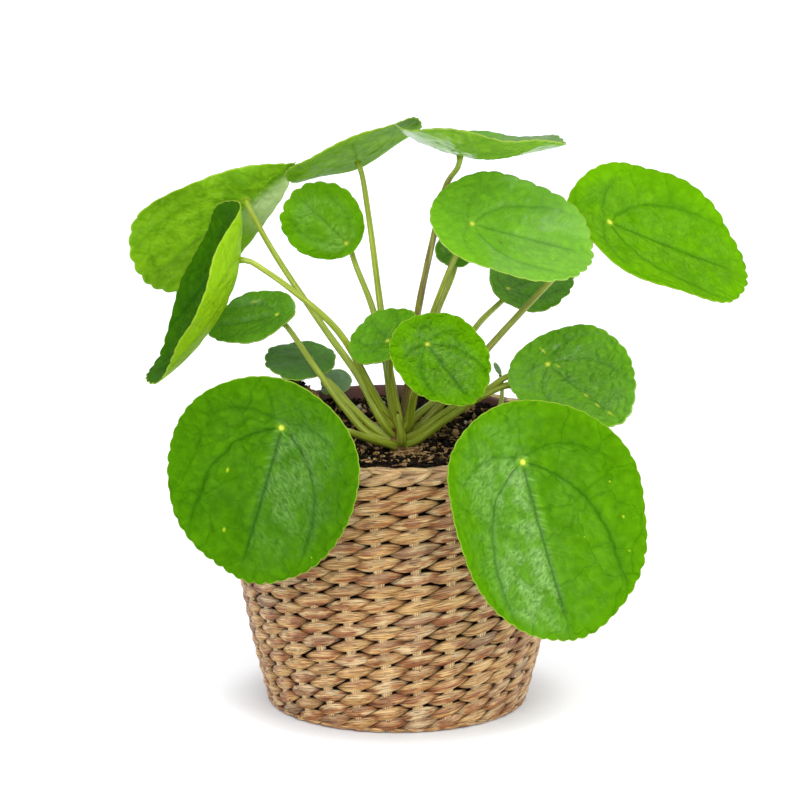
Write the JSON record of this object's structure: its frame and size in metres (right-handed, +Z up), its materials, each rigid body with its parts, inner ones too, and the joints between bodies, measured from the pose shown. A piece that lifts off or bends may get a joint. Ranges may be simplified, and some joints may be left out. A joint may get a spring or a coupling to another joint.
{
  "type": "potted pilea plant",
  "caption": "Young pilea plant with round, coin-like leaves on long stalks, growing in soil in a plastic nursery pot that stands inside a tapered basket of twined plant fibre.",
  "frame": {"origin": "centre of the basket's foot, on the surface it stands on", "axes": "+Z up; the picture looks along +Y from slightly above, with +X to its right"},
  "size_m": [0.27, 0.1882, 0.2632],
  "materials": {
    "basket_fibre": "dry twisted plant fibre, matte with a slight sheen on the crowns of the stitches",
    "pot_plastic": "dark red-brown moulded plastic, satin",
    "soil": "dark crumbly potting soil with bark chips and fibres",
    "stem_green": "smooth juicy stalk, yellow-green turning olive-brown at the foot",
    "leaf_green": "smooth waxy leaf, semi-gloss above and paler below",
    "young_leaf_green": "smooth bluish-green young leaf, satin"
  },
  "bodies": {
    "root": {"basket": "basket_fibre", "basket_border": "basket_fibre", "nursery_pot": "pot_plastic", "soil": "soil", "stems": "stem_green", "leaf_front_left": "leaf_green", "leaf_front_right": "leaf_green", "leaf_right_folded": "leaf_green", "leaf_centre_front": "leaf_green", "leaf_centre_rear": "leaf_green", "leaf_left_high": "leaf_green", "leaf_left_cupped": "leaf_green", "leaf_left_mid": "leaf_green", "leaf_left_low": "leaf_green", "leaf_top_left": "leaf_green", "leaf_top_right": "leaf_green", "leaf_glossy": "leaf_green", "leaf_right_high": "leaf_green", "leaf_far_right": "leaf_green", "leaf_rear_small": "leaf_green", "leaf_rear_right": "leaf_green", "shoot_left_stem": "stem_green", "shoot_right_stem": "stem_green", "leaf_shoot_left_upper": "young_leaf_green", "leaf_shoot_left_lower": "young_leaf_green", "leaf_shoot_right_leaf": "young_leaf_green"}
  },
  "joints": []
}
